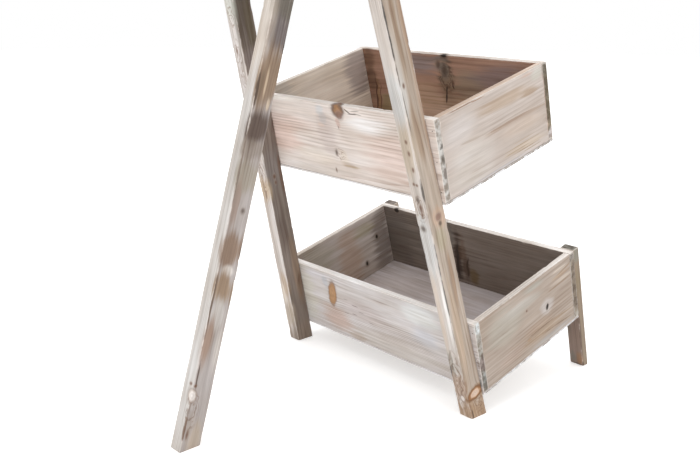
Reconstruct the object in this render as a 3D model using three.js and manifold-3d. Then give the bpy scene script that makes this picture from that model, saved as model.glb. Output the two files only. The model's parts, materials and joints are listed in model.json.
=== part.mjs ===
// A plant ladder stand of sawn pine. Three planter boxes hang on the front of two rails that lean back
// and draw together, and one prop leg behind folds on a hinge at its head.
// Millimetres, +Z up. The boxes face -Y, and the origin is on the floor under the middle of the stand.
import * as THREE from "three";
import { mergeVertices } from "three/addons/utils/BufferGeometryUtils.js";
import Module from "manifold-3d";

const degree = Math.PI / 180;

// Stance
const leanAngle = 15 * degree; // rails from upright
const propAngle = 31.2 * degree; // prop leg from the rails
const lowestBoxRise = 38; // lowest box above the rails' feet, along the rail
const boxPitch = 363; // from one box to the next, along the rail
const railAboveTopBox = 17; // rail tops above the top box's rim

// Boxes
const lowestBoxLength = 500;
const lengthStep = 46; // each box is this much shorter than the one below
const boxDepth = 290;
const boardHeight = 141;
const boardThickness = 12.5;
const bottomThickness = 4;

// Sticks
const railWidth = 28;
const railDepth = 38;
const railInset = 7.5; // rail's outer face from the lowest box's end, at half height
const railInsetStep = 3.75; // added to the inset at each box above
const shortLegWidth = 30;
const shortLegDepth = 17;
const propLegWidth = 28;
const propLegDepth = 38;

// Butt hinge
const leafLength = 34; // from the pin's axis
const leafWidth = 26;
const leafThickness = 1.5;
const leafMargin = 4; // below the leaf, to the board's lower edge
const knuckleRadius = 3;
const knuckleCount = 3;
const pinRadius = 1.4;
const pinHeadRadius = 2.3;
const pinHeadLength = 0.8;
const leafScrewSpacing = 13;
const leafScrewDrop = 21; // from the pin's axis

// Screws
const screwEdge = 32; // from a board's long edge to a screw
const railScrew = { headRadius: 4, shankRadius: 1.9, headLength: 2.6, length: 35, tipLength: 5 };
const shortLegScrew = { headRadius: 3.5, shankRadius: 1.6, headLength: 2.3, length: 26, tipLength: 4 };
const hingeScrew = { headRadius: 2.8, shankRadius: 1.3, headLength: 1.4, length: 11, tipLength: 3 };

// Fits
const seatGap = 0.3; // between faces that rest on each other
const boreClearance = 0.3; // round a screw or a pin

// Shaping
const roundSides = 12; // of screws and their holes
const hingeSides = 16; // of knuckles and the pin
const cutterOverrun = 1; // past the faces that a cutter or a joined block has to cross

// Worked out in the ladder's own frame: y = 0 is the back of the boxes, z runs up the rails.
const floorSlope = Math.tan(leanAngle); // the floor there is z = floorSlope * y
const sideRise = bottomThickness + seatGap; // boards above the box's underside
const tiers = ["lower", "middle", "top"].map((name, i) => ({
  name,
  length: lowestBoxLength - i * lengthStep,
  boardBottom: lowestBoxRise + i * boxPitch + sideRise,
}));
const [lowestBox, , topBox] = tiers;
const railSlope = (lengthStep / 2 + railInsetStep) / boxPitch;
const railMiddleAtFoot =
  lowestBoxLength / 2 - railInset - railWidth / 2 + railSlope * (lowestBox.boardBottom + boardHeight / 2);
const railTop = topBox.boardBottom + boardHeight + railAboveTopBox;
const railMiddle = (z) => railMiddleAtFoot - railSlope * z;
const shortLegFront = -(boxDepth + seatGap + shortLegDepth);
const pinDepth = seatGap + knuckleRadius;
const pinHeight = topBox.boardBottom + leafMargin + leafLength;

const steel = { color: 0x8d8f8c, roughness: 0.45, metalness: 0.9 };
const pineTones = {
  rail: 0xc9bcae,
  short_leg: 0xcfc4b8,
  prop_leg: 0xcdbfae,
  rear_board: 0xd6cdc6,
  front_board: 0xcbbfb4,
  end_board: 0xd3cac2,
  bottom_panel: 0xa69c97,
};
const pine = (piece) => ({ color: pineTones[piece], roughness: 0.85, metalness: 0 });

const wasm = await Module();
wasm.setup();

// A closed geometry as a solid that can be cut.
function solidFrom(geometry) {
  const bare = geometry.clone();
  bare.deleteAttribute("normal");
  bare.deleteAttribute("uv");
  const merged = mergeVertices(bare, 1e-4);
  const vertProperties = merged.attributes.position.array;
  return new wasm.Manifold(new wasm.Mesh({ numProp: 3, vertProperties, triVerts: merged.index.array }));
}

function geometryFrom(solid) {
  const { vertProperties, triVerts } = solid.getMesh();
  const shared = new THREE.BufferGeometry();
  shared.setAttribute("position", new THREE.BufferAttribute(vertProperties, 3));
  shared.setIndex(new THREE.BufferAttribute(triVerts, 1));
  const faceted = shared.toNonIndexed();
  faceted.computeVertexNormals();
  return faceted;
}

function cut(geometry, tools) {
  if (!tools.length) return geometry;
  return geometryFrom(tools.map(solidFrom).reduce((rest, tool) => rest.subtract(tool), solidFrom(geometry)));
}

function join(...geometries) {
  return geometryFrom(geometries.map(solidFrom).reduce((all, next) => all.add(next)));
}

// A block between the given limits along X, Y and Z.
function block(...limits) {
  const sizes = limits.map(([low, high]) => high - low);
  const middles = limits.map(([low, high]) => (low + high) / 2);
  return new THREE.BoxGeometry(...sizes).translate(...middles);
}

// A side outline of [y, z] points, given a width along X about the middle.
function sideExtrusion(outline, width, middle = 0) {
  const shape = new THREE.Shape(outline.map(([y, z]) => new THREE.Vector2(y, z)));
  const axes = [new THREE.Vector3(0, 1, 0), new THREE.Vector3(0, 0, 1), new THREE.Vector3(1, 0, 0)];
  return new THREE.ExtrudeGeometry(shape, { depth: width, bevelEnabled: false })
    .translate(0, 0, -width / 2)
    .applyMatrix4(new THREE.Matrix4().makeBasis(...axes))
    .translate(middle, 0, 0);
}

// A rod along X, from a profile of [radius, x] points that starts and ends on the axis.
function turnedAlongX(profile) {
  const points = profile.map(([radius, x]) => new THREE.Vector2(radius, x));
  return new THREE.LatheGeometry(points, hingeSides).rotateZ(-Math.PI / 2);
}

// A countersunk screw whose head faces +Y or -Y. Its hole is the same shape, grown by the clearance.
function screwShape(size, [x, y, z], facing, growth = 0) {
  const { headRadius, shankRadius, headLength, length, tipLength } = size;
  const profile = [
    [0, -length - growth],
    [shankRadius + growth, tipLength - length],
    [shankRadius + growth, -headLength],
    [headRadius + growth, 0],
    [0, 0],
  ];
  const cutter = [...profile.slice(0, -1), [headRadius + growth, cutterOverrun], [0, cutterOverrun]];
  const points = (growth ? cutter : profile).map(([radius, along]) => new THREE.Vector2(radius, along));
  return new THREE.LatheGeometry(points, roundSides).rotateX(facing > 0 ? 0 : Math.PI).translate(x, y, z);
}

const screwHole = (screw) => screwShape(screw.size, screw.at, screw.facing, boreClearance);

function addMesh(group, name, geometry, finish) {
  const mesh = new THREE.Mesh(geometry, new THREE.MeshStandardMaterial(finish));
  mesh.name = name;
  group.add(mesh);
}

function addScrews(group, screws) {
  for (const { name, size, at, facing } of screws) {
    addMesh(group, name, screwShape(size, at, facing), steel);
  }
}

const sides = [
  ["left", -1],
  ["right", 1],
];

// Two screws at each rail, from inside the box through the rear board.
function railScrewsOf({ name, boardBottom }, sideName, side) {
  const heights = { low: boardBottom + screwEdge, high: boardBottom + boardHeight - screwEdge };
  return Object.entries(heights).map(([level, z]) => ({
    name: `${name}_rail_screw_${sideName}_${level}`,
    size: railScrew,
    at: [side * railMiddle(z), -boardThickness, z],
    facing: -1,
  }));
}

// A rail is a box sheared twice: inwards as it rises, and to level ends.
function addRail(group, sideName, side) {
  const acrossWidth = railWidth * Math.hypot(1, railSlope);
  const back = seatGap + railDepth;
  const upright = block([-acrossWidth / 2, acrossWidth / 2], [seatGap, back], [0, railTop]);
  const levelEnds = new THREE.Matrix4().set(1, 0, 0, 0, 0, 1, 0, 0, 0, floorSlope, 1, 0, 0, 0, 0, 1);
  const drawnIn = new THREE.Matrix4().set(
    ...[1, 0, -side * railSlope, side * railMiddleAtFoot],
    ...[0, 1, 0, 0],
    ...[0, 0, 1, 0],
    ...[0, 0, 0, 1],
  );
  const holes = tiers.flatMap((tier) => railScrewsOf(tier, sideName, side)).map(screwHole);
  const stick = upright.applyMatrix4(levelEnds).applyMatrix4(drawnIn);
  addMesh(group, `rail_${sideName}`, cut(stick, holes), pine("rail"));
}

const shortLegScrews = sides.flatMap(([sideName, side]) =>
  ["low", "high"].map((level) => ({
    name: `short_leg_screw_${sideName}_${level}`,
    size: shortLegScrew,
    at: [
      side * (lowestBox.length - shortLegWidth) * 0.5,
      shortLegFront,
      lowestBox.boardBottom + (level === "low" ? screwEdge : boardHeight - screwEdge),
    ],
    facing: -1,
  })),
);

const fixedLeafScrews = sides.map(([sideName, side]) => ({
  name: `hinge_fixed_screw_${sideName}`,
  size: hingeScrew,
  at: [(side * leafScrewSpacing) / 2, seatGap + leafThickness, pinHeight - leafScrewDrop],
  facing: 1,
}));

// In the prop leg's own frame, whose origin is the pin.
const movingLeafScrews = sides.map(([sideName, side]) => ({
  name: `hinge_moving_screw_${sideName}`,
  size: hingeScrew,
  at: [(side * leafScrewSpacing) / 2, knuckleRadius - leafThickness, -leafScrewDrop],
  facing: -1,
}));

// Long boards run past the end boards, and the thin bottom lies under all four.
function addBox(group, tier) {
  const { name, length, boardBottom } = tier;
  const half = length / 2;
  const height = [boardBottom, boardBottom + boardHeight];
  const railScrews = sides.flatMap(([sideName, side]) => railScrewsOf(tier, sideName, side));
  const rearHoles = [...railScrews, ...(tier === topBox ? fixedLeafScrews : [])].map(screwHole);
  const frontHoles = tier === lowestBox ? shortLegScrews.map(screwHole) : [];
  const rear = block([-half, half], [-boardThickness, 0], height);
  const front = block([-half, half], [-boxDepth, boardThickness - boxDepth], height);
  addMesh(group, `${name}_rear_board`, cut(rear, rearHoles), pine("rear_board"));
  addMesh(group, `${name}_front_board`, cut(front, frontHoles), pine("front_board"));
  const betweenLongBoards = [boardThickness + seatGap - boxDepth, -boardThickness - seatGap];
  for (const [sideName, side] of sides) {
    const across = [side * half, side * (half - boardThickness)].sort((a, b) => a - b);
    const endBoard = block(across, betweenLongBoards, height);
    addMesh(group, `${name}_end_board_${sideName}`, endBoard, pine("end_board"));
  }
  const underside = boardBottom - sideRise;
  const bottom = block([-half, half], [-boxDepth, 0], [underside, underside + bottomThickness]);
  addMesh(group, `${name}_bottom_panel`, bottom, pine("bottom_panel"));
  addScrews(group, railScrews);
}

// The short legs lie on the lowest box's front board, flush with its ends and its rim.
function addShortLegs(group) {
  const back = -(boxDepth + seatGap);
  const rim = lowestBox.boardBottom + boardHeight;
  const outline = [
    [shortLegFront, shortLegFront * floorSlope],
    [back, back * floorSlope],
    [back, rim],
    [shortLegFront, rim],
  ];
  for (const [sideName, side] of sides) {
    const stick = sideExtrusion(outline, shortLegWidth, side * (lowestBox.length - shortLegWidth) * 0.5);
    addMesh(group, `short_leg_${sideName}`, cut(stick, shortLegScrews.map(screwHole)), pine("short_leg"));
  }
  addScrews(group, shortLegScrews);
}

// A leaf is a plate that narrows to its own knuckles. The plate lies at the knuckles' far side from
// the other leaf, between the two given depths from the pin's axis.
function hingeLeaf(depths, knuckles) {
  const pitch = leafWidth / knuckleCount;
  const clearOfKnuckles = knuckleRadius + 2 * boreClearance;
  const plate = block([-leafWidth / 2, leafWidth / 2], depths, [-leafLength, -clearOfKnuckles]);
  const rolls = knuckles.flatMap((i) => {
    const start = -leafWidth / 2 + i * pitch + (i > 0 ? boreClearance / 2 : 0);
    const end = -leafWidth / 2 + (i + 1) * pitch - (i < knuckleCount - 1 ? boreClearance / 2 : 0);
    const roll = [
      [0, start],
      [knuckleRadius, start],
      [knuckleRadius, end],
      [0, end],
    ];
    return [turnedAlongX(roll), block([start, end], depths, [-clearOfKnuckles - cutterOverrun, 0])];
  });
  const reach = leafWidth / 2 + cutterOverrun;
  const boreRadius = pinRadius + boreClearance;
  const bore = turnedAlongX([
    [0, -reach],
    [boreRadius, -reach],
    [boreRadius, reach],
    [0, reach],
  ]);
  return cut(join(plate, ...rolls), [bore]);
}

function addFixedHinge(group) {
  const leaf = hingeLeaf([-knuckleRadius, leafThickness - knuckleRadius], [0, 2]);
  leaf.translate(0, pinDepth, pinHeight);
  addMesh(group, "hinge_fixed_leaf", cut(leaf, fixedLeafScrews.map(screwHole)), steel);
  addScrews(group, fixedLeafScrews);
  const innerHead = leafWidth / 2 + boreClearance;
  const outerHead = innerHead + pinHeadLength;
  const pin = turnedAlongX([
    [0, -outerHead],
    [pinHeadRadius, -outerHead],
    [pinHeadRadius, -innerHead],
    [pinRadius, -innerHead],
    [pinRadius, innerHead],
    [pinHeadRadius, innerHead],
    [pinHeadRadius, outerHead],
    [0, outerHead],
  ]);
  addMesh(group, "hinge_pin", pin.translate(0, pinDepth, pinHeight), steel);
}

// Where a line of the leg at depth y in the leg's frame meets a plane of the ladder's frame, which is
// given as a point on it and its normal, both as [y, z].
function heightOnLeg(y, point, normal) {
  const [down, across] = [Math.sin(propAngle), Math.cos(propAngle)];
  const towards = [point[0] - pinDepth, point[1] - pinHeight];
  const inLeg = (v) => [across * v[0] + down * v[1], across * v[1] - down * v[0]];
  const [p, n] = [inLeg(towards), inLeg(normal)];
  return p[1] - ((y - p[0]) * n[0]) / n[1];
}

// The prop leg's head is cut to lie flat on the top box's rear board, which stops it when it is open.
const propFace = knuckleRadius + seatGap;
const propBack = propFace + propLegDepth;
const headPlane = [
  [seatGap, pinHeight],
  [1, 0],
];
const floorPlane = [
  [0, 0],
  [-floorSlope, 1],
];

function addPropLeg(group) {
  const outline = [
    [propFace, heightOnLeg(propFace, ...floorPlane)],
    [propBack, heightOnLeg(propBack, ...floorPlane)],
    [propBack, heightOnLeg(propBack, ...headPlane)],
    [propFace, heightOnLeg(propFace, ...headPlane)],
  ];
  const stick = sideExtrusion(outline, propLegWidth);
  addMesh(group, "prop_leg", cut(stick, movingLeafScrews.map(screwHole)), pine("prop_leg"));
  const leaf = hingeLeaf([knuckleRadius - leafThickness, knuckleRadius], [1]);
  addMesh(group, "hinge_moving_leaf", cut(leaf, movingLeafScrews.map(screwHole)), steel);
  addScrews(group, movingLeafScrews);
}

const ladder = new THREE.Group();
for (const [sideName, side] of sides) addRail(ladder, sideName, side);
for (const tier of tiers) addBox(ladder, tier);
addShortLegs(ladder);
addFixedHinge(ladder);

const propLeg = new THREE.Group();
addPropLeg(propLeg);
propLeg.position.set(0, pinDepth, pinHeight);
propLeg.rotation.x = propAngle;
ladder.add(propLeg);

// The stand's middle lies half way between the short legs' toes and the prop leg's heel, which are
// both on the floor.
const heel = heightOnLeg(propBack, ...floorPlane);
const heelDepth = pinDepth + propBack * Math.cos(propAngle) - heel * Math.sin(propAngle);
const middleDepth = (heelDepth + shortLegFront) / 2 / Math.cos(leanAngle);
ladder.rotation.x = -leanAngle;
ladder.position.y = -middleDepth;

const stand = new THREE.Group();
stand.add(ladder);

export default stand;
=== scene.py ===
import json
import math

import bpy
import numpy as np
from mathutils import Matrix, Vector, noise


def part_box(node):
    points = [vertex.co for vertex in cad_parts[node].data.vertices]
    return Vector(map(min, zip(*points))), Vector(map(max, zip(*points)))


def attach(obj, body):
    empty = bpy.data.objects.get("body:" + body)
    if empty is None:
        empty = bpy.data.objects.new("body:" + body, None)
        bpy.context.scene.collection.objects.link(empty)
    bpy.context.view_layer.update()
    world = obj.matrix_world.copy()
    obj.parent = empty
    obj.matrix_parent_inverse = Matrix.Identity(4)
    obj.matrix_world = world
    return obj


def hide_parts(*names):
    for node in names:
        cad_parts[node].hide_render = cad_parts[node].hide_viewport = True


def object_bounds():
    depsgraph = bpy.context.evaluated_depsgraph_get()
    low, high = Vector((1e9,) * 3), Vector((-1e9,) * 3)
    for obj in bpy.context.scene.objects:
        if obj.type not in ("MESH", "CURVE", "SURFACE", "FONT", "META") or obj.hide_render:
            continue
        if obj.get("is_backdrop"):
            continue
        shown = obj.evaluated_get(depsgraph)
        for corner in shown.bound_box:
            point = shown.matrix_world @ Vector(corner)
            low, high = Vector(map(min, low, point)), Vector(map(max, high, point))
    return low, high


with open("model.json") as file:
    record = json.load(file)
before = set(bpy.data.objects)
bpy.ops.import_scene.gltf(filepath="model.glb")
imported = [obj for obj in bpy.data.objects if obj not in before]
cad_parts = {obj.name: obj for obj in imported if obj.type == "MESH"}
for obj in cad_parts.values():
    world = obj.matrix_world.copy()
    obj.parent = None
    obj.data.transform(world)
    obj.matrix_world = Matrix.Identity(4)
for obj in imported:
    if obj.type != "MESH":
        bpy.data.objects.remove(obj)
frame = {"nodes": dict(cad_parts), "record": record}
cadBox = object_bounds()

# Plant ladder stand in whitewashed pine. Each board and stick is rebuilt on its CAD node with eased,
# worn arrises and a solid grain; screws and brads come from Geometry Nodes; the hinge is plated steel.

mm = 0.001
cadNodes = frame["nodes"]
bodyOf = {node: body for body, nodes in frame["record"]["behaviour"]["bodies"].items() for node in nodes}
print("frame: {} nodes".format(len(cadNodes)))


def linear(hexCode):
    # an sRGB hex colour as linear values
    channels = [int(hexCode[i:i + 2], 16) / 255 for i in (0, 2, 4)]
    return [c / 12.92 if c <= 0.04045 else ((c + 0.055) / 1.055) ** 2.4 for c in channels] + [1.0]


def add(tree, kind, *values, out=0, stops=None, **settings):
    # one node: its kind, with the operation after a space, then its inputs in order or by name (links or
    # values), the output to hand back, a ramp's stops, and its other settings
    kind, _, operation = kind.partition(" ")
    made = tree.nodes.new(kind if "Node" in kind else "ShaderNode" + kind)
    if operation:
        settings["operation"] = operation
    for name, value in settings.items():
        setattr(made, name, value)
    inputs = {}
    for place, value in enumerate(values):
        inputs.update(value if isinstance(value, dict) else {place: value})
    for name, value in inputs.items():
        sources = value if isinstance(value, list) else [value]
        links = [source for source in sources if isinstance(source, bpy.types.NodeSocket)]
        for link in links:
            tree.links.new(link, made.inputs[name])
        if not links:
            made.inputs[name].default_value = value
    if stops:
        ramp = made.color_ramp.elements
        ramp[0].position, ramp[0].color = stops[0]
        ramp[1].position, ramp[1].color = stops[-1]
        for place, colour in stops[1:-1]:
            ramp.new(place).color = colour
    return made.outputs[out] if len(made.outputs) else made


smooth = {"interpolation_type": "SMOOTHSTEP"}      # for MapRange nodes
blend = {"data_type": "RGBA", "out": 2}            # for Mix nodes of colours, whose inputs are 6 and 7


def newMaterial(name):
    material = bpy.data.materials.new(name)
    material.use_nodes = True
    material.node_tree.nodes.clear()
    return material, material.node_tree


def newObject(name, data):
    made = bpy.data.objects.new(name, data)
    bpy.context.scene.collection.objects.link(made)
    return made


# studio: camera, white surround, floor and lamps

studio = {
    "eye": (-1.13439, 1.07013, 0.72559),
    "right": (-0.67707, -0.73584, 0.01035),
    "up": (0.20494, -0.17503, 0.96300),
    "lens": 45.888,                      # mm on a 36 mm sensor
    "surround": 0.80,                    # light from the white room
    "floorTone": "EEEEEE",
    "floorReach": (0.8, 3.2),            # m from the middle, near and far
    "floorLift": (0.44, 0.75),           # keeps the floor white to the eye, near and far, with a faint shadow
    "floorRadius": 9,
    "aim": (0, 0.1, 0.45),               # where the lamps point
    "lamps": [                           # name, place, size, watts
        ("overheadLamp", (0.3, 0.3, 3.2), 3.0, 38.0),
        ("rearLamp", (-0.6, 3.0, 0.9), 2.4, 26.0),
        ("sideLamp", (-2.9, 0.1, 1.1), 2.4, 18.0),
        ("frontLamp", (0.8, -3.0, 1.6), 2.4, 16.0),
    ],
}

scene = bpy.context.scene
scene.view_settings.view_transform = "Standard"
rightWay, upWay = Vector(studio["right"]).normalized(), Vector(studio["up"])
upWay = (upWay - rightWay * upWay.dot(rightWay)).normalized()
facing = Matrix((rightWay, upWay, rightWay.cross(upWay))).transposed().to_4x4()
lensData = bpy.data.cameras.new("camera")
lensData.lens = studio["lens"]
lensData.sensor_width = 36.0
lensData.sensor_fit = "HORIZONTAL"
lensData.clip_start = 0.02
camera = newObject("camera", lensData)
camera.matrix_world = Matrix.Translation(studio["eye"]) @ facing
scene.camera = camera


def seenWhite(tree):
    # 1 for the rays that should find a white background: from the eye, off a gloss or through glass
    rays = add(tree, "LightPath").node.outputs
    seen = add(tree, "Math MAXIMUM", rays["Is Camera Ray"], rays["Is Glossy Ray"])
    return add(tree, "Math MAXIMUM", seen, rays["Is Transmission Ray"])


world = bpy.data.worlds.new("whiteRoom")
world.use_nodes = True
room = world.node_tree
room.nodes.clear()
strength = add(room, "MapRange", seenWhite(room), 0.0, 1.0, studio["surround"], 1.0)
light = add(room, "Background", linear("FFFFFF"), strength)
add(room, "OutputWorld", light)
scene.world = world

floorMesh = bpy.data.meshes.new("studioFloor")
turns = [k * math.tau / 64 for k in range(64)]
rim = [(studio["floorRadius"] * math.cos(turn), studio["floorRadius"] * math.sin(turn), 0) for turn in turns]
floorMesh.from_pydata(rim, [], [range(64)])
floor = newObject("studioFloor", floorMesh)
paper, paperTree = newMaterial("whitePaperFloor")   # matt white paper: no gloss, a soft trace of shadow
seen = seenWhite(paperTree)
where = add(paperTree, "TexCoord", out="Object")
away = add(paperTree, "VectorMath LENGTH", where, out=1)
lift = add(paperTree, "MapRange", away, *studio["floorReach"], *studio["floorLift"], **smooth)
lift = add(paperTree, "Math MULTIPLY", seen, lift)
fibre = add(paperTree, "TexNoise", {"Vector": where, "Scale": 700.0})
tooth = add(paperTree, "Bump", {"Height": fibre, "Strength": 0.05, "Distance": 0.0002})
skin = add(paperTree, "BsdfPrincipled", {
    "Base Color": linear(studio["floorTone"]), "Roughness": 0.95, "Normal": tooth,
    "Specular IOR Level": 0.0, "Emission Color": linear("FFFFFF"), "Emission Strength": lift})
add(paperTree, "OutputMaterial", skin)
floorMesh.materials.append(paper)
floor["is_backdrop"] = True

for name, place, size, watts in studio["lamps"]:
    lampData = bpy.data.lights.new(name, "AREA")
    lampData.shape = "DISK"
    lampData.size = size
    lampData.energy = watts
    aim = Vector(studio["aim"]) - Vector(place)
    lamp = newObject(name, lampData)
    lamp.matrix_world = Matrix.Translation(place) @ aim.to_track_quat("-Z", "Y").to_matrix().to_4x4()
print("studio: camera, floor and {} lamps".format(len(studio["lamps"])))


# wood: shapes

shapes = {                               # mm: arris radius, wear along it, hollows in a face, station spacing
    "stick": {"arris": 1.1, "wear": 0.7, "chip": 1.5, "hollow": 0.22, "step": 5.0},
    "board": {"arris": 0.7, "wear": 0.35, "chip": 0.9, "hollow": 0.18, "step": 6.0},
    "panel": {"arris": 0.4, "wear": 0.1, "chip": 0.2, "hollow": 0.10, "step": 8.0},
}
sinkLines = [0, 0.45, 0.86, 0.93, 1.0, 1.25, 1.6]    # grid lines round a screw hole, in its radii


def pieceFrame(node):
    # a piece's own directions (along the grain, across, through) and its corners, from its CAD mesh
    mesh = cadNodes[node].data
    count = len(mesh.polygons)
    normals, areas = np.empty(count * 3), np.empty(count)
    mesh.polygons.foreach_get("normal", normals)
    mesh.polygons.foreach_get("area", areas)
    normals = normals.reshape(-1, 3)

    def widest(allowed):
        rows = np.flatnonzero(allowed)
        rows = rows[np.argsort(-areas[rows])][:40]
        sums = [areas[(np.abs(normals @ normals[row]) > 0.999) & allowed].sum() for row in rows]
        return normals[rows[int(np.argmax(sums))]]

    through = widest(np.ones(count, bool))
    across = widest(np.abs(normals @ through) < 0.1)
    across = across - through * (through @ across)
    across /= np.linalg.norm(across)
    axes = []
    for way in (np.cross(through, across), across, through):
        axes.append(way * np.sign(way[np.argmax(np.abs(way))]))
    axes = np.array(axes)
    points = np.array([v.co for v in mesh.vertices]) @ axes.T
    low, high = points.min(0), points.max(0)
    ends = np.zeros((2, 2, 2))           # [low or high end][across side][through side]
    for i in (0, 1):
        for j in (0, 1):
            edge = (low, high)[i][1], (low, high)[j][2]
            near = (np.abs(points[:, 1] - edge[0]) < 0.1 * mm) & (np.abs(points[:, 2] - edge[1]) < 0.1 * mm)
            ends[0, i, j], ends[1, i, j] = points[near, 0].min(), points[near, 0].max()
    return axes, low, high, ends


def sideName(way):
    names = {0: ("left", "right"), 1: ("front", "rear"), 2: ("down", "up")}
    axis = int(np.argmax(np.abs(way)))
    return names[axis][int(way[axis] > 0)]


def spread(low, high, step, extra):
    # sorted places from low to high, no further apart than step, that include the extra ones
    places = sorted(set([low, high] + [e for e in extra if low < e < high]))
    kept = [places[0]]
    for place in places[1:]:
        gap = place - kept[-1]
        if gap < 0.12 * mm:
            continue
        parts = max(1, int(math.ceil(gap / step)))
        kept += [kept[-1] + gap * k / parts for k in range(1, parts + 1)]
    kept[-1] = high
    return kept


def woodMesh(node, form, tones, holes, seed):
    axes, low, high, ends = pieceFrame(node)
    middle = (low + high) / 2
    radius = form["arris"] * mm
    aLines, cLines = [
        [h[i] * mm + middle[i] + s * k * h[2] * mm for h in holes for k in sinkLines for s in (1, -1)]
        for i in (0, 1)]                 # grid lines round the holes, along and across

    # the ring of points round the section, with the side of the piece that each belongs to:
    # 0 is the high across side, 1 the low through side, 2 the low across side, 3 the high through side
    ring, side = [], []
    corners = [(1, 1), (1, -1), (-1, -1), (-1, 1)]                    # (across, through) signs
    cornerPlaces = [(high[1] if cs > 0 else low[1], high[2] if ts > 0 else low[2]) for cs, ts in corners]
    for k, (cs, ts) in enumerate(corners):
        cEdge, tEdge = cornerPlaces[k]
        for step in range(5):
            angle = math.radians(90 - 90 * k - step * 22.5)
            ring.append((cEdge + radius * (math.cos(angle) - cs), tEdge + radius * (math.sin(angle) - ts)))
            side.append((k - 1) % 4 if step < 2 else k)
        axis = 1 if k % 2 else 2                                      # what changes along this side
        width = high[axis] - low[axis]
        marks = [d * mm for d in (2.2, 4.5, 9.0) if d * mm < width / 2 - 0.6 * mm]
        extra = [low[axis] + m for m in marks] + [high[axis] - m for m in marks]
        if axis == 1:
            extra += cLines
        gap = (8.0 if width > 20 * mm else 4.0) * mm
        places = spread(low[axis] + radius, high[axis] - radius, gap, extra)[1:-1]
        for place in places[::-1] if k < 2 else places:
            ring.append((place, tEdge) if axis == 1 else (cEdge, place))
            side.append(k)
    ring, side = np.array(ring), np.array(side)
    toCorner = sum(np.minimum(ring[:, i] - low[i + 1], high[i + 1] - ring[:, i]) for i in (0, 1))
    nearest = np.argmin([np.hypot(*(ring - np.array(place)).T) for place in cornerPlaces], axis=0)

    # stations along the grain, closer at the ends and round the screw holes
    first, last = ends[0].mean(), ends[1].mean()
    near = [0.2 * radius, 0.55 * radius, radius, 2.2 * radius, 5 * radius]
    extra = [first + d for d in near] + [last - d for d in near] + aLines
    stations = np.array(spread(first, last, form["step"] * mm, extra))
    span = min(80 * mm, 0.4 * (last - first))
    cFrac = (ring[:, 0] - low[1]) / (high[1] - low[1])
    tFrac = (ring[:, 1] - low[2]) / (high[2] - low[2])

    def endPlane(end, c, t):
        return (end[0, 0] * (1 - c) * (1 - t) + end[1, 0] * c * (1 - t)
                + end[0, 1] * (1 - c) * t + end[1, 1] * c * t)

    lowEnd, highEnd = endPlane(ends[0], cFrac, tFrac), endPlane(ends[1], cFrac, tFrac)
    grid = np.zeros((len(stations), len(ring), 3))
    drift = Vector((seed * 7.31, seed * 3.17, seed * 1.73))
    signs = np.array([corners[k] for k in nearest])
    for i, s in enumerate(stations):
        fromEnd = min(s - first, last - s)
        inset = 0.0
        if fromEnd < radius:
            inset = radius - math.sqrt(max(0.0, radius ** 2 - (radius - fromEnd) ** 2))
        c = middle[1] + (ring[:, 0] - middle[1]) * (1 - 2 * inset / (high[1] - low[1]))
        t = middle[2] + (ring[:, 1] - middle[2]) * (1 - 2 * inset / (high[2] - low[2]))
        wear = []
        for k in range(4):
            rub = form["wear"] * (0.5 + 0.5 * noise.noise(Vector((s * 9, k * 5.0, 0)) + drift))
            bite = noise.noise(Vector((s * 55, k * 9.0, 4)) + drift) - 0.42
            wear.append((rub + max(0.0, bite) * 6 * form["chip"] * 0.5) * mm)
        wear = np.minimum(np.array(wear)[nearest], form["chip"] * mm)
        pull = wear * np.exp(-(toCorner / (1.7 * mm)) ** 2)
        c = c - signs[:, 0] * pull
        t = t - signs[:, 1] * pull
        a = s + (lowEnd - first) * max(0.0, 1 - (s - first) / span)
        a += (highEnd - last) * max(0.0, 1 - (last - s) / span)
        grid[i] = np.stack([a, c, t], 1)

    # shallow hollows in the faces, always inwards
    flat = grid.reshape(-1, 3)
    faceWay = np.tile(np.array([[0, 1, 0], [0, 0, -1], [0, -1, 0], [0, 0, 1]])[side], (len(stations), 1))
    dips = np.array([noise.noise(Vector((p[0] * 14, p[1] * 30 + seed, p[2] * 30)) + drift) for p in flat])
    flat -= faceWay * ((0.5 + 0.5 * dips) * form["hollow"] * mm)[:, None]
    edge = np.tile(np.exp(-toCorner / (2.4 * mm)), len(stations))
    fromEnds = np.repeat(np.minimum(stations - first, last - stations), len(ring))
    edge = np.maximum(edge, np.exp(-fromEnds / (2.0 * mm)))
    pit = np.zeros(len(flat))

    # countersinks: square rings of the grid become round, and their middle goes down and is marked for
    # painted shade
    tiledSide = np.tile(side, len(stations))
    for along, across, size, deep, up in holes:
        size, deep = size * mm, deep * mm
        da, dc = flat[:, 0] - middle[0] - along * mm, flat[:, 1] - middle[1] - across * mm
        square = np.maximum(np.abs(da), np.abs(dc))
        faced = tiledSide == (3 if up else 1)
        on = faced & (square < sinkLines[-1] * size) & (square > 1e-7)
        share = np.clip((sinkLines[-1] * size - square) / (0.6 * size), 0, 1)
        factor = 1 + (square / np.maximum(np.hypot(da, dc), 1e-9) - 1) * share
        flat[on, 0] = middle[0] + along * mm + (da * factor)[on]
        flat[on, 1] = middle[1] + across * mm + (dc * factor)[on]
        sink = faced & (square < 0.97 * size)
        flat[sink, 2] -= (1 if up else -1) * deep
        pit[sink] = 1.0

    # the sides, then the caps: shrinking rings and a middle point
    vertices, edges, sinkShades = [flat], [edge], [pit]
    faces, toneKeys, capFlags = [], [], []
    count, rows = len(ring), len(stations)
    sideKeys = [sideName(way) for way in (axes[1], -axes[2], -axes[1], axes[2])]

    def face(corners, key, cap):
        faces.append(corners)
        toneKeys.append(key)
        capFlags.append(cap)

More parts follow.
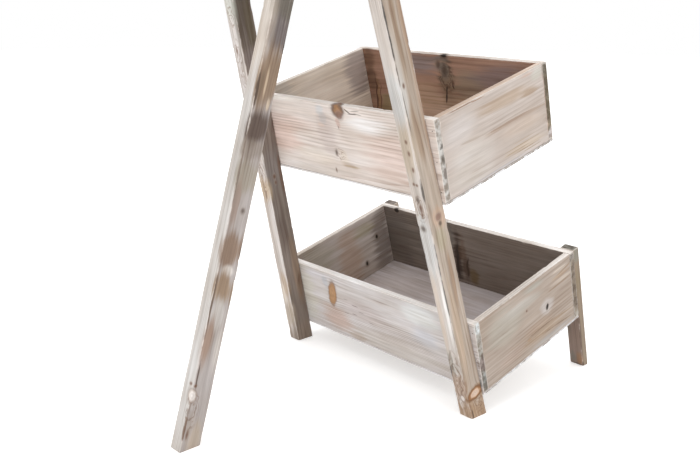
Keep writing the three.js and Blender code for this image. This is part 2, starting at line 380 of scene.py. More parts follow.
    for start in range(0, (rows - 1) * count, count):
        for j in range(count):
            k = (j + 1) % count
            face((start + j, start + k, start + count + k, start + count + j), sideKeys[side[j]], 0.0)
    total = rows * count
    for end, row in ((0, 0), (1, rows - 1)):
        rim = flat[row * count:(row + 1) * count]
        centre = rim.mean(0)
        outer = list(range(row * count, (row + 1) * count))
        key = sideName(axes[0] * (1 if end else -1))
        turn = 1 if end else -1
        for share, worn in ((0.9, 0.25), (0.6, 0.0), (0.25, 0.0)):
            vertices.append(centre + (rim - centre) * share)
            edges.append(np.full(count, worn))
            sinkShades.append(np.zeros(count))
            inner = list(range(total, total + count))
            total += count
            for j in range(count):
                k = (j + 1) % count
                face((outer[j], outer[k], inner[k], inner[j])[::turn], key, 1.0)
            outer = inner
        vertices.append(centre[None])
        edges.append(np.zeros(1))
        sinkShades.append(np.zeros(1))
        for j in range(count):
            face((outer[j], outer[(j + 1) % count], total)[::turn], key, 1.0)
        total += 1
    local = np.concatenate(vertices)
    placed = np.clip(local @ axes, np.array(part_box(node)[0]), np.array(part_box(node)[1]))

    mesh = bpy.data.meshes.new(node + "_wood")
    mesh.from_pydata(placed.tolist(), [], faces)
    mesh.update()
    # each side's tone, painted light and shade included
    sideToneAndShadeOf = {key: linear(code)[:3] for key, code in tones.items()}
    colours = np.array([sideToneAndShadeOf[key] + [flag] for key, flag in zip(toneKeys, capFlags)])
    for name, kind, domain, field, values in (
            ("grain", "FLOAT_VECTOR", "POINT", "vector", local - middle),
            ("edge", "FLOAT", "POINT", "value", np.concatenate(edges)),
            ("pit", "FLOAT", "POINT", "value", np.concatenate(sinkShades)),
            ("tone", "FLOAT_COLOR", "FACE", "color", colours)):
        made = mesh.attributes.new(name, kind, domain)
        made.data.foreach_set(field, values.astype(np.float32).ravel())
    if sum(polygon.center.dot(polygon.normal) * polygon.area for polygon in mesh.polygons) < 0:
        mesh.flip_normals()                                           # faces point outwards
    mesh.polygons.foreach_set("use_smooth", [True] * len(mesh.polygons))
    return mesh


knotKinds = {                            # rings of a knot from its heart outwards: place, tone, cover
    "brown": [(0.0, "A0703E", 0.92), (0.3, "8F6232", 0.92), (0.5, "6E4A2C", 0.9), (0.6, "63493A", 0.65),
              (0.72, "98826F", 0.25), (0.92, "A59280", 0.0)],
    "mauve": [(0.0, "8C6E62", 0.85), (0.4, "866A5E", 0.75), (0.62, "94807A", 0.35), (0.85, "A59280", 0.0)],
    "orange": [(0.0, "B58B61", 0.95), (0.42, "AF8459", 0.95), (0.54, "9C734C", 0.92), (0.61, "82634B", 0.7),
               (0.7, "A08C7A", 0.22), (0.88, "A59280", 0.0)],
    "dark": [(0.0, "4C3F37", 0.85), (0.28, "5C4E44", 0.75), (0.5, "796B60", 0.5), (0.7, "958A80", 0.2),
             (0.95, "A08870", 0.0)],
    "speck": [(0.0, "63432F", 0.85), (0.35, "745645", 0.72), (0.58, "927C6C", 0.35), (0.85, "A59280", 0.0)],
    "pale": [(0.0, "B59A84", 0.9), (0.1, "DCC4B2", 0.92), (0.34, "D6B79E", 0.92), (0.44, "A4764C", 0.95),
             (0.54, "774F30", 0.95), (0.63, "83603F", 0.85), (0.76, "A68A70", 0.5), (0.95, "B09C88", 0.0)],
    "white": [(0.0, "E4DEDA", 0.92), (0.4, "DCD3CC", 0.88), (0.52, "B4A296", 0.6), (0.62, "84746A", 0.5),
              (0.72, "A69890", 0.25), (0.95, "A59280", 0.0)],
    # a hole: its dark middle is painted shade, with no hole cut in the wood
    "hole": [(0.0, "1A1410", 1.0), (0.42, "2A211B", 1.0), (0.56, "5A4C42", 0.7), (0.7, "8C7C6E", 0.2),
             (0.9, "A08870", 0.0)],
}
clouds = {                               # noises in the wood: patches a metre along, across and through,
                                         # detail, and a shift of the pattern
    "wander": ((4.5, 16, 16), 2.0, 0.0),     # the lines' slow drift
    "swirl": ((55, 75, 75), 1.5, 51.0),      # curls in a burl
    "clear": ((7, 26, 26), 3.0, 3.0),        # where lines show
    "fine": ((22, 650, 650), 3.0, 1.0),      # fibres
    "streak": ((6, 170, 170), 3.0, 5.0),
    "brush": ((4, 60, 60), 3.0, 9.0),        # brush marks in the wash
    "blotch": ((9, 20, 20), 3.0, 13.0),      # where it was sanded through
    "speck": ((90, 130, 130), 3.0, 21.0),    # sawn ends
    "soak": ((20, 38, 38), 2.0, 25.0),
    "scuff": ((45, 60, 60), 3.0, 31.0),      # arrises
    "bruise": ((30, 40, 40), 2.0, 37.0),
    "ripple": ((70, 80, 80), 1.0, 41.0),     # a knot's rim
    "jag": ((190, 190, 190), 2.0, 43.0),
    "mottle": ((90, 130, 130), 3.0, 45.0),   # a knot's inside
}
washTones = {"bare": "EFE9E3", "bareLine": "B39E92", "chalkLine": "DDD2CC", "soaked": "B0A69C",
             "rubbed": "E6DED6", "bruise": "7A6656", "mottle": "53392A", "pit": "3A2E26"}
chalkWhite = [1.09, 1.10, 1.12, 1]       # lifts the piece's own tone a little, to the cool side
lateWood = [(0.0, "505050"), (0.12, "000000"), (0.5, "2A2A2A"), (0.84, "E0E0E0"), (0.93, "FFFFFF"),
            (1.0, "606060")]             # how dark each year's line is, from one ring to the next


def pineMaterial(name, look, seed):
    # whitewashed pine, brushed thin and sanded back: growth lines and knots show through a chalky white
    material, tree = newMaterial(name)
    tones = {part: linear(code) for part, code in washTones.items()}

    def cloud(kind, place, out=0):
        scale, detail, shift = clouds[kind]
        start = (seed * 1.7 + shift, shift, seed * 0.9)
        moved = add(tree, "Mapping", {"Vector": place, "Location": start, "Scale": scale})
        pattern = {"Vector": moved, "Scale": 1.0, "Detail": detail, "Roughness": 0.55}
        return add(tree, "TexNoise", pattern, out=out)

    def swing(value, gain):
        # a noise of 0 to 1, swung about nought
        return add(tree, "Math MULTIPLY", add(tree, "Math SUBTRACT", value, 0.5), gain)

    def ellipse(place, mark, tilt=0.0):
        # distance from a mark's heart, 1 at its rim; tilt turns it in the across face, in degrees
        local = add(tree, "Mapping", {
            "Vector": place, "Location": [v * mm for v in mark[:3]], "Scale": [v * mm for v in mark[3:]],
            "Rotation": (0.0, 0.0, math.radians(tilt))}, vector_type="TEXTURE")
        return add(tree, "VectorMath LENGTH", local, out=1)

    def within(mark, rim, heart, most=1.0):
        # nought outside a mark's rim, most at its heart
        return add(tree, "MapRange", ellipse(grain, mark), rim, heart, 0.0, most, **smooth)

    grain = add(tree, "Attribute", attribute_name="grain", out=1)
    # the side's tone, painted light and shade included, with the sawn-end flag in its alpha
    toneNode = add(tree, "Attribute", attribute_name="tone").node.outputs
    edge = add(tree, "Attribute", attribute_name="edge", out=2)
    pit = add(tree, "Attribute", attribute_name="pit", out=2)

    # grain lines: growth rings about a pith beside the piece, swerving round the knots
    wavy = look["wavy"] * mm
    half = (0.5, 0.5, 0.5)
    wander = add(tree, "VectorMath SUBTRACT", cloud("wander", grain, 1), half)
    bent = add(tree, "VectorMath MULTIPLY_ADD", wander, (0.03, wavy, wavy), grain)
    swirl = add(tree, "VectorMath SUBTRACT", cloud("swirl", grain, 1), half)
    for *mark, reach in look["burls"]:
        inside = add(tree, "Math MULTIPLY", within(mark, 1.2, 0.5), reach * mm)
        bent = add(tree, "VectorMath ADD", bent, add(tree, "VectorMath SCALE", swirl, {"Scale": inside}))
    for *mark, kind, tilt in look["knots"]:
        away = ellipse(grain, mark[:3] + [v * 1.4 for v in mark[3:]])
        away = add(tree, "Math MULTIPLY", away, away)
        pull = add(tree, "Math POWER", 2.718, add(tree, "Math MULTIPLY", away, -1.0))
        share = 0.12 if kind == "orange" else 0.6                     # a loose knot hardly moves the grain
        toHeart = add(tree, "VectorMath SUBTRACT", [v * mm for v in mark[:3]], bent)
        toHeart = add(tree, "VectorMath MULTIPLY", toHeart, (0.0, share, share))
        bent = add(tree, "VectorMath ADD", bent, add(tree, "VectorMath SCALE", toHeart, {"Scale": pull}))
    pith = [0.0] + [-v * mm for v in look["pith"]]
    lean = [0.0] + [math.radians(v) for v in look["lean"]]
    rings = add(tree, "Mapping", {"Vector": bent, "Location": pith, "Rotation": lean})
    waves = {"Vector": rings, "Scale": math.tau / (20 * look["ring"] * mm), "Distortion": 0.0}
    saw = add(tree, "TexWave", waves, wave_type="RINGS", rings_direction="X", wave_profile="SAW", out=1)
    late = add(tree, "ValToRGB", saw, stops=[(place, linear(code)) for place, code in lateWood])
    late = add(tree, "RGBToBW", late)
    clear = add(tree, "MapRange", cloud("clear", grain), 0.34, 0.62, **smooth)
    for *mark, amount in look["calm"]:
        left = add(tree, "Math SUBTRACT", 1.0, within(mark, 1.2, 0.5, amount))
        clear = add(tree, "Math MULTIPLY", clear, left)
    lines = add(tree, "Math MULTIPLY", add(tree, "Math MULTIPLY", late, clear), look["lines"])
    for *mark, reach in look["burls"]:
        # nested ovals, broken by the swirl, where the stick was cut through a burl
        curled = add(tree, "VectorMath MULTIPLY_ADD", swirl, (0.05, 0.016, 0.016), grain)
        oval = add(tree, "Math SINE", add(tree, "Math MULTIPLY", ellipse(curled, mark), 16.0))
        oval = add(tree, "MapRange", oval, 0.1, 0.9, **smooth)
        inside = add(tree, "Math MULTIPLY", within(mark, 1.15, 0.6), 0.8)
        lines = add(tree, "Math MAXIMUM", lines, add(tree, "Math MULTIPLY", oval, inside))

    # fibres at three widths, and the white wash that lies between them
    fine, streak, brush = [cloud(kind, bent) for kind in ("fine", "streak", "brush")]
    cover = look["wash"]
    for patches, gain in ((brush, 1.5), (cloud("blotch", grain), 1.6), (streak, 0.9)):
        cover = add(tree, "Math ADD", cover, swing(patches, gain))
    cover = add(tree, "Math SUBTRACT", cover, add(tree, "Math MULTIPLY", lines, 0.45), use_clamp=True)

    # broad patches of other tones, each one listed
    field = toneNode["Color"]
    ragged = add(tree, "Math SUBTRACT", add(tree, "Math ADD", streak, brush), 1.0)
    ragged = add(tree, "Math MULTIPLY", ragged, 1.1)
    # some of these patches are painted shade or painted light, as noted at each piece
    for *mark, code, amount in look["stains"]:
        reach = add(tree, "Math ADD", ellipse(bent, mark), ragged)
        laid = add(tree, "MapRange", reach, 1.15, 0.45, 0.0, amount, **smooth)
        field = add(tree, "Mix", laid, {6: field, 7: linear(code)}, **blend)

    shown = add(tree, "Math MULTIPLY", lines, 0.9)
    bare = add(tree, "Mix", shown, {6: tones["bare"], 7: tones["bareLine"]}, **blend)
    shown = add(tree, "Math MULTIPLY", lines, 0.6)
    chalk = add(tree, "Mix", shown, {6: chalkWhite, 7: tones["chalkLine"]}, **blend)
    pattern = add(tree, "Mix", cover, {6: bare, 7: chalk}, **blend)
    fibreTone = add(tree, "MapRange", fine, 0.3, 0.7, 0.93, 1.05)
    streakTone = add(tree, "MapRange", streak, 0.3, 0.7, 1 - look["streaks"], 1 + look["streaks"] * 0.8)
    fibreTone = add(tree, "Math MULTIPLY", fibreTone, streakTone)
    pattern = add(tree, "VectorMath SCALE", pattern, {"Scale": fibreTone})
    colour = add(tree, "Mix", 1.0, {6: field, 7: pattern}, blend_type="MULTIPLY", **blend)

    # sawn ends: dark drunk-in patches among white
    speck, soak = cloud("speck", grain), cloud("soak", grain)
    speck, soak = add(tree, "Math MULTIPLY", speck, 0.6), add(tree, "Math MULTIPLY", soak, 0.9)
    soaked = add(tree, "Math ADD", speck, soak)
    soaked = add(tree, "MapRange", soaked, 0.62, 0.9, **smooth)
    sawn = add(tree, "Mix", 1.0, {6: field, 7: tones["soaked"]}, blend_type="MULTIPLY", **blend)
    sawn = add(tree, "Mix", soaked, {6: field, 7: sawn}, **blend)

    # arrises lightened, partly rubbed pale with wear and partly a painted highlight, with brown bruises
    scuff = cloud("scuff", grain)
    rubbed = add(tree, "Math ADD", edge, swing(scuff, 1.6))
    rubbed = add(tree, "MapRange", rubbed, 0.55, 0.95, 0.0, look["rubbed"], **smooth)
    bruise = add(tree, "MapRange", cloud("bruise", grain), 0.60, 0.70, **smooth)
    bruise = add(tree, "Math MULTIPLY", bruise, add(tree, "MapRange", edge, 0.25, 0.6, **smooth))
    bruise = add(tree, "Math MULTIPLY", bruise, look["bruised"])
    coats = [(toneNode["Alpha"], sawn), (rubbed, tones["rubbed"]), (bruise, tones["bruise"])]

    # splits: thin dark lines that stop and start
    for *mark, code, tilt in look["splits"]:
        gap = add(tree, "Math ADD", ellipse(bent, mark, tilt), swing(scuff, 1.1))
        coats.append((add(tree, "MapRange", gap, 1.1, 0.6, 0.0, 0.92, **smooth), linear(code)))

    # knots, uneven at the rim, with faint rings of their own
    ripple = add(tree, "Math ADD", swing(cloud("ripple", grain), 0.45), swing(cloud("jag", grain), 0.3))
    mottle = add(tree, "MapRange", cloud("mottle", grain), 0.42, 0.72, **smooth)
    lump = 0.0
    for *mark, kind, tilt in look["knots"]:
        far = add(tree, "Math ADD", ellipse(grain, mark, tilt), ripple)
        far = add(tree, "Math MULTIPLY", far, 0.6)
        stops = [(place, linear(code)[:3] + [amount]) for place, code, amount in knotKinds[kind]]
        core = add(tree, "ValToRGB", far, stops=stops).node.outputs
        rings = add(tree, "Math SINE", add(tree, "Math MULTIPLY", far, 26.0))
        rings = add(tree, "Math MULTIPLY_ADD", rings, 0.06, 0.97)
        tint = add(tree, "VectorMath SCALE", core["Color"], {"Scale": rings})
        mottled = add(tree, "Math MULTIPLY", mottle, 0.5 if kind == "brown" else 0.15)
        tint = add(tree, "Mix", mottled, {6: tint, 7: tones["mottle"]}, **blend)
        coats.append((core["Alpha"], tint))
        lump = add(tree, "Math ADD", lump, core["Alpha"])
    # last, the painted shade in the countersinks round the screw heads
    for amount, coat in coats + [(pit, tones["pit"])]:
        colour = add(tree, "Mix", amount, {6: colour, 7: coat}, **blend)

    relief = add(tree, "Math MULTIPLY", lines, 0.5)
    relief = add(tree, "Math ADD", relief, add(tree, "Math MULTIPLY", fine, 0.35))
    relief = add(tree, "Math ADD", relief, add(tree, "Math MULTIPLY", streak, 0.5))
    relief = add(tree, "Math SUBTRACT", relief, add(tree, "Math MULTIPLY", lump, 0.6))
    bump = add(tree, "Bump", {"Height": relief, "Strength": 0.55, "Distance": 0.0005})
    rough = add(tree, "MapRange", cover, 0.0, 1.0, 0.58, 0.78)
    skin = add(tree, "BsdfPrincipled", {
        "Base Color": colour, "Roughness": rough, "Normal": bump, "Specular IOR Level": 0.35})
    add(tree, "OutputMaterial", skin)
    return material


plainPine = dict(ring=4.4, pith=(10, -60), lean=(0.6, 0.8), wavy=7, lines=0.6, wash=0.5, streaks=0.10,
                 rubbed=0.5, bruised=0.3, knots=[], burls=[], calm=[], splits=[], stains=[])


def onFace(through, deep, rows):
    # marks that lie on one face: along, across and the half sizes of each, then its tone and amount
    return [(*row[:2], through, *row[2:4], deep, *row[4:]) for row in rows]


# Each piece: the tones of its rear, front, left, right, upper and lower side, its grain (mm between rings,
# the pith's place), then its marks, in mm from its centre: place along, across and through, half sizes,
# and a tone with an amount, a knot's or split's tilt in degrees, or a burl's reach. The side tones also
# hold painted light and shade: upper sides are painted lighter, as lit from above, and most inner sides of
# the boxes darker, partly painted shade and partly a thinner wash.
woodPieces = {
    "rail_left": dict(
        form="stick", tones="CCC5BF C6BDB4 B6A99C B5A89C C9BEB4 A39485",
        ring=3.6, pith=(14, 30), wavy=9, lines=0.75, wash=0.45, streaks=0.15,
        knots=[(-417, -1, -14, 10, 19, 9, "pale", 8), (-420, 19, -2, 7, 6, 5, "white"),
            (-95, 19, 3, 6, 6, 6, "dark"), (53, 19, -1, 4, 3, 3, "speck"), (34, 19, -2, 5, 3, 3, "speck"),
            (7, 19, -3, 5, 3, 3, "speck"), (-18, 19, 2, 3, 2, 3, "speck"), (-19, 19, -4, 3, 2, 3, "speck"),
            (-45, 19, 1, 6, 5, 4, "dark"), (-60, 19, -2, 10, 6, 4, "speck"),
            (-71, 19, -2, 5, 5, 3, "speck"), (-81, -3, -14, 7, 7, 4, "mauve"),
            (-93, -4, -14, 5, 4, 4, "dark"), (140, 11, -14, 5, 2.5, 3, "speck")],
        burls=[(-385, 19, 2, 70, 12, 18, 16), (-60, 19, 0, 26, 10, 14, 8), (-440, -4, -14, 22, 18, 8, 10)],
        splits=[(222, 18.4, -13.4, 84, 2.6, 2.6, "45413E"), (-26, 18.2, -13.2, 30, 2, 2.4, "5A544E"),
            (-210, 18.4, -13.4, 96, 1.8, 1.8, "6A6763"), (105, 17, -13.6, 46, 1.3, 1.6, "7C746C"),
            (-345, 19, 6, 22, 3, 1.4, "5A5450"), (-372, 19, 12, 16, 3, 2, "565052"),
            (-452, 14, -14, 12, 1.4, 3, "4E3C2E")],
        stains=[(40, 19, 2, 50, 12, 22, "BFAE96", 0.6), (125, 19, -4, 45, 12, 22, "C7C9C9", 0.8),
            (-130, 19, 4, 60, 12, 22, "CFD1D1", 0.8), (-240, 19, -8, 80, 12, 5, "EFEDEA", 0.9),
            (-250, 19, 8, 90, 12, 7, "D2C3B4", 0.7), (-355, 19, 9, 30, 12, 12, "A09C92", 0.7),
            (-455, 0, 0, 40, 40, 40, "AC8F72", 0.85), (-400, 19, 0, 30, 12, 20, "B0937A", 0.6),
            (160, 14, -14, 70, 6, 4, "CBC6C0", 0.7)] + onFace(-14, 6, [(240, 2, 80, 5, "9C8670", 0.75),
            (250, -14, 90, 5, "AA8E76", 0.7), (100, -15, 120, 4, "B8A08C", 0.5),
            (60, 4, 50, 10, "AD9A86", 0.7), (-84, -4, 22, 18, "C3A791", 0.7),
            (-118, 2, 24, 16, "AFA58F", 0.8), (-200, -6, 70, 4, "A58A72", 0.75),
            (-290, 6, 110, 9, "BDA68E", 0.6)])),
    "rail_right": dict(
        # its left side is painted darker, partly painted shade where it faces in towards the prop leg and the
        # boxes
        form="stick", tones="D2CCC8 BFB4A9 887D75 B5A99D C9BEB4 94857A",
        ring=3.4, pith=(-16, 26), wavy=8, lines=0.75, wash=0.4, streaks=0.17,
        knots=[(-80, 2, -14, 6, 4, 4, "speck"), (-93, 1, -14, 5, 3, 4, "speck"),
            (172, 19, 3, 8, 6, 3, "speck")],
        burls=[(165, 19, 2, 34, 10, 13, 10), (235, 19, 0, 26, 10, 12, 8), (120, 19, 0, 26, 10, 12, 8),
            (-75, 19, 0, 44, 10, 13, 12)],
        splits=[(-92, 19, 5, 16, 3, 1.6, "6A5242"), (-112, 19, 1, 10, 3, 1.6, "70584A")],
        stains=[(-60, 0, -14, 60, 24, 10, "8A8380", 0.7), (-84, -14, -14, 50, 5, 10, "7E6250", 0.8),
            (-200, 6, -14, 60, 14, 10, "6E6058", 0.7), (-100, 19, 0, 30, 12, 20, "C8B294", 0.7),
            (-300, -8, -14, 90, 10, 10, "96806C", 0.7), (-320, 19, -2, 34, 12, 12, "B69C7C", 0.6),
            (-345, 19, 5, 30, 12, 5, "EAE2D6", 0.85), (-385, 19, -6, 30, 12, 8, "D8CCBE", 0.8),
            (-400, 19, 0, 30, 12, 20, "B4A898", 0.6), (-455, 0, 0, 40, 40, 40, "8E7E70", 0.8),
            (260, 4, -14, 120, 30, 10, "5F544A", 0.85), (200, -8, -14, 60, 12, 10, "6E6450", 0.6),
            (150, 4, -14, 26, 20, 10, "8C817E", 0.7), (270, 19, 0, 60, 12, 20, "C9CCC4", 0.7)]),
    "prop_leg": dict(
        form="stick", tones="C3BFBB C0B4A8 ADA5A1 C2B6AA C9BEB4 A79888",
        ring=3.8, pith=(20, -34), wash=0.55, streaks=0.13,
        knots=[(-352, 18, -13, 12, 9, 9, "white", 20), (-48, -5, -14, 6, 5, 5, "dark"),
            (-334, 19, -6, 3, 4, 4, "speck"), (-336, 15, -14, 3, 3, 4, "speck"),
            (-418, 12, -14, 10, 3, 4, "speck")],
        burls=[(-378, 12, -12, 40, 14, 12, 8)],
        splits=[(217, -18.4, -13.5, 12, 4, 4, "34261F"), (-102, -18.2, -13.6, 20, 1.7, 2.2, "5E4A40"),
            (146, 17, -14, 34, 2.6, 5, "54453A"), (-362, 21, -11, 7, 2.6, 3, "5C4C42"),
            (-322, 15, -14, 26, 1.6, 4, "5E5048"), (-375, 16, -14, 18, 1.4, 4, "8C8078"),
            (-408, 17, -14, 22, 2, 5, "6E5646"), (30, 17.5, -14, 70, 1.6, 3, "7A6C60"),
            (-205, 17, -14, 60, 2, 4, "6A5A4E")],
        # the dark patches on the through side near the top, where the leg comes close to rail_right and the
        # boxes, are partly painted shade; lower down it grows paler
        stains=[(275, 0, -14, 26, 40, 12, "726D64", 0.9), (235, 0, -14, 30, 40, 12, "7A7271", 0.95),
            (165, 2, -14, 58, 40, 12, "96806A", 0.9), (158, 3, -14, 28, 3, 6, "CAB69E", 0.85),
            (121, -9, -14, 14, 3.4, 6, "CFBEA8", 0.85), (150, 12, -14, 34, 5, 6, "7C6A58", 0.7),
            (84, 2, -14, 32, 40, 12, "5F5048", 0.95), (50, 2, -14, 18, 40, 12, "948A80", 0.7),
            (6, 0, -14, 30, 40, 12, "A39B8E", 0.85), (-38, 12, -14, 40, 8, 10, "9C897E", 0.75),
            (-112, 1, -14, 36, 36, 12, "8A7463", 0.95), (-146, -4, -14, 12, 16, 10, "D2CBC4", 0.8)
            ] + onFace(-14, 12, [
            (-177, 1, 32, 38, "957F69", 0.95), (-218, 0, 30, 22, "C6C2BE", 0.85),
            (-266, 12, 52, 11, "9A8272", 0.9), (-275, -12, 60, 9, "C6BEB6", 0.7)]) + [
            (-430, -4, -14, 40, 14, 8, "B8A896", 0.7), (-400, 8, -14, 24, 8, 8, "A4988E", 0.6),
            (250, 19, 0, 90, 12, 30, "CDC2B6", 0.6)]),
    "short_leg_left": dict(
        form="stick", tones="938075 B8ADA2 948472 A89C90 7C786F 8A7A6A",
        ring=3.2, pith=(9, 22), lines=0.5, wash=0.45,
        splits=[(-60, -14.2, 7, 60, 2, 2.4, "6E5C50"), (-126, -14.2, 7, 12, 1.8, 2.4, "4A382C")],
        stains=[(-112, -8, 8, 16, 8, 6, "9C7A5E", 0.85), (-112, 8, 8, 16, 9, 6, "7E7870", 0.7),
            (-40, 12, 8, 26, 8, 6, "7C7468", 0.6), (118, -15, 0, 20, 6, 12, "8C8A80", 0.8),
            (60, -15, 2, 36, 6, 10, "8A7C64", 0.6), (-128, 0, 8, 5, 18, 8, "5E5248", 0.7)]),
    "short_leg_right": dict(
        form="stick", tones="988880 B8ADA2 B0A498 BFB2A4 857B74 8A7A6A",
        ring=3.3, pith=(-8, 24), lines=0.5, wash=0.45,
        stains=[(-118, 0, 0, 26, 20, 20, "94806E", 0.8)]),
    "lower_rear_board": dict(
        form="board", tones="CFCAC8 A59A90 A9A49C ABA299 FBF9F7 A8A099",
        ring=2.7, pith=(34, -52), wavy=5, lines=0.8, wash=0.55, bruised=0.1,
        knots=[(121.5, 23, 6, 11, 28, 16, "orange", 14)],
        calm=[(180, 20, 6, 60, 60, 8, 0.7), (-120, 40, 6, 70, 34, 8, 0.6)],
        splits=onFace(6.2, 2, [(60, 12, 10, 1.2, "8E7F7B"), (66, -8, 8, 1.1, "7E6F6C"),
            (44, 2, 9, 1, "9A8C88"), (84, 20, 7, 1, "9C8F8B"), (20, -14, 8, 1, "9C8F8B"),
            (90, -12, 7, 1, "94867F")]),
        stains=onFace(6, 8, [(122, -34, 50, 30, "C7B1A6", 0.85), (205, 0, 34, 90, "D3D0C6", 0.8),
            (150, 56, 70, 12, "DAD8DC", 0.8), (138, 46, 10, 18, "BFC2C8", 0.7),
            (-120, 45, 50, 26, "E3E6E6", 0.85), (-128, 2, 44, 26, "C6C7CC", 0.7),
            (40, 6, 80, 26, "C6BCBA", 0.7), (-60, -50, 160, 24, "CFC8C0", 0.6),
            # the white strip along the top edge is a painted highlight
            (70, -60, 26, 12, "B5A596", 0.6)]) + [(0, 71, 0, 300, 2.6, 14, "FFFFFF", 0.85),
            (-250, 60, 0, 7, 14, 12, "DFE4E6", 0.95), (-250, 26, 0, 7, 18, 12, "CBC8C2", 0.9),
            (-250, -14, -2, 7, 18, 12, "8E7F7A", 0.9), (-250, -50, 0, 7, 24, 12, "9DA09E", 0.9)]),
    "lower_front_board": dict(
        form="board", tones="81766E CDC4BC 968A7C A0968C F2EFEC A8A099",
        ring=4.3, pith=(-20, -48), lines=0.55, wash=0.35,
        knots=[(199, 67, 6, 8, 6, 6, "hole"), (50, -25, 6, 7, 10, 8, "dark"), (56, 40, 6, 8, 22, 8, "dark")],
        splits=[(34, -16, 6, 4, 50, 4, "33261F", 2), (8, -26, 6, 3.4, 28, 4, "3E2D22", 6)],
        stains=onFace(6, 10, [(33, -8, 13, 64, "46372E", 0.95), (20, 10, 12, 34, "66503F", 0.65),
            (12, -30, 12, 34, "584436", 0.85), (-6, -48, 14, 22, "6E5C40", 0.9),
            (52, 30, 12, 40, "666663", 0.35)]) + [(205, 10, 6, 60, 90, 8, "68605A", 0.7),
            (120, 0, 6, 60, 60, 8, "6E675F", 0.5), (-250, 62, 0, 7, 10, 12, "9A9590", 0.8),
            (-250, 0, -2, 7, 60, 8, "7D6E5E", 0.8), (-250, -64, 0, 7, 8, 12, "B5AEA4", 0.9)]),
    "lower_end_board_left": dict(
        form="board", tones="A0968C A0968C AFA195 A1968C E6E1DC A8A29C",
        ring=4, pith=(26, 56), wavy=6, wash=0.45,
        knots=[(-53, -1, -6, 4, 7, 8, "hole", 18), (6, 22, -6, 2.6, 2.6, 4, "speck")],
        calm=[(40, 40, -6, 90, 26, 8, 0.85), (-20, 8, -6, 60, 20, 8, 0.7)],
        splits=onFace(-6, 2, [(-32, -33, 46, 1.7, "846D59"), (-80, -52, 54, 1.6, "86705C", 5),
            (-30, -46, 66, 1.2, "9A836C", 2), (-90, -38, 36, 1.2, "9A836C", 5),
            (-108, 50, 28, 1.6, "9A826C", -9), (-88, 27, 44, 1.9, "947E6B", -2),
            (-104, 40, 26, 1.1, "A48E7A", -6), (40, -30, 40, 1.2, "A38F7D")]),
        stains=[(-53, 0, -6, 22, 18, 10, "C9C4C2", 0.75)] + onFace(-6, 8, [(70, 24, 60, 40, "B6B1A7", 0.75),
            (-40, -40, 80, 16, "B09B85", 0.6), (-20, -24, 50, 12, "B8A493", 0.65),
            (20, 40, 60, 14, "C3BFB8", 0.7), (-20, 58, 40, 8, "AFB0A8", 0.6),
            (-96, 44, 34, 5, "B19A83", 0.7), (-96, 56, 34, 4, "D6CABD", 0.8),
            (-100, 34, 34, 4, "CFC2B5", 0.75), (-60, -64, 80, 6, "B5B1AE", 0.7),
            (6, -39, 8, 3.4, "B08F6C", 0.5), (60, -44, 50, 20, "B9A79B", 0.6)])),
    "lower_end_board_right": dict(
        form="board", tones="A0968C A0968C C1B8B2 C4BAB1 E4DED8 A8A29C",
        ring=4.2, pith=(-24, 50), lines=0.5, wash=0.4,
        knots=onFace(-6, 8, [(-95, 10, 6, 7, "dark"), (-53, -38, 6, 8, "dark"), (-95, 10, 3, 5, "hole"),
            (-53, -38, 3, 5, "hole")]),
        calm=[(20, 20, -6, 90, 60, 8, 0.6)],
        stains=onFace(-6, 8, [(-10, -6, 40, 90, "BBA596", 0.8), (-110, 0, 34, 90, "857A74", 0.8),
            (80, 30, 50, 50, "B4AE9E", 0.6), (-60, 40, 36, 16, "AFA88F", 0.6)])),
    "middle_rear_board": dict(
        form="board", tones="DCD2CB B3A598 CBC7C2 C9BFB6 FBF8F5 B2ABA4",
        ring=4.6, pith=(-40, -44), wavy=8, lines=0.72, bruised=0.1,
        knots=[(-5, 62, 6, 15, 13, 16, "brown"), (-7, 52, 6, 9, 8, 14, "mauve"),
            (19, -20, 6, 4, 7, 5, "dark", 12), (29, -55, 6, 2.5, 5, 4, "speck")],
        burls=[(8, -22, 6, 14, 14, 8, 4)],
        calm=onFace(6, 8, [(150, 56, 120, 20, 0.9), (-50, 34, 50, 26, 0.9), (110, -52, 110, 26, 0.8),
            (14, 34, 20, 30, 0.8), (40, -40, 34, 30, 0.7)]),
        splits=onFace(6.2, 2, [(-29, 62, 11, 1.5, "66584C", 20), (-41, 59, 12, 1.4, "6C6259", -4),
            (-46, 65, 13, 0.9, "A0978F", -8), (-54, 60, 10, 0.8, "A89F97", 6), (-3, 30, 1.4, 5, "8A7C70")]),
        stains=onFace(6, 8, [(150, 24, 90, 18, "E0CEC7", 0.7), (170, -10, 60, 34, "E2C9BF", 0.7),
            (34, 16, 30, 50, "C9BCB6", 0.7), (45, 57, 14, 12, "C3CBD0", 0.45),
            (36, 41, 12, 15, "BAB6B6", 0.5), (-130, -10, 90, 44, "E0CCC3", 0.75),
            (-75, 42, 60, 18, "EDEBEA", 0.8), (-5, 40, 6, 14, "CDB2A8", 0.75),
            (44, 28, 12, 5, "D9C2B2", 0.4), (120, -62, 120, 10, "DAD3CD", 0.6),
            (80, -36, 60, 16, "E2D9CE", 0.6), (2, -28, 16, 16, "DCCFBE", 0.5),
            (-15, -42, 20, 2.6, "C6B393", 0.6), (200, 66, 110, 5, "E9E5DF", 0.8)]) + [
            (-227, 24, -3, 6, 6, 6, "6C665F", 0.95), (-227, 5, -3, 6, 12, 6, "858078", 0.95),
            (-227, -21, -3, 6, 13, 6, "7C726B", 0.95)]),
    "middle_front_board": dict(
        form="board", tones="AF8B78 CDC4BC 857B68 A0968C EAE4DE B2ABA4",
        ring=4.5, pith=(22, -50), wash=0.35,
        knots=onFace(6, 8, [(-5, 68, 11, 7, "dark"), (-5, 69, 7, 3.4, "hole"), (12, 52, 8, 12, "dark"),
            (-2, 40, 9, 16, "dark"), (-20, 18, 3.4, 8, "speck", -14)]),
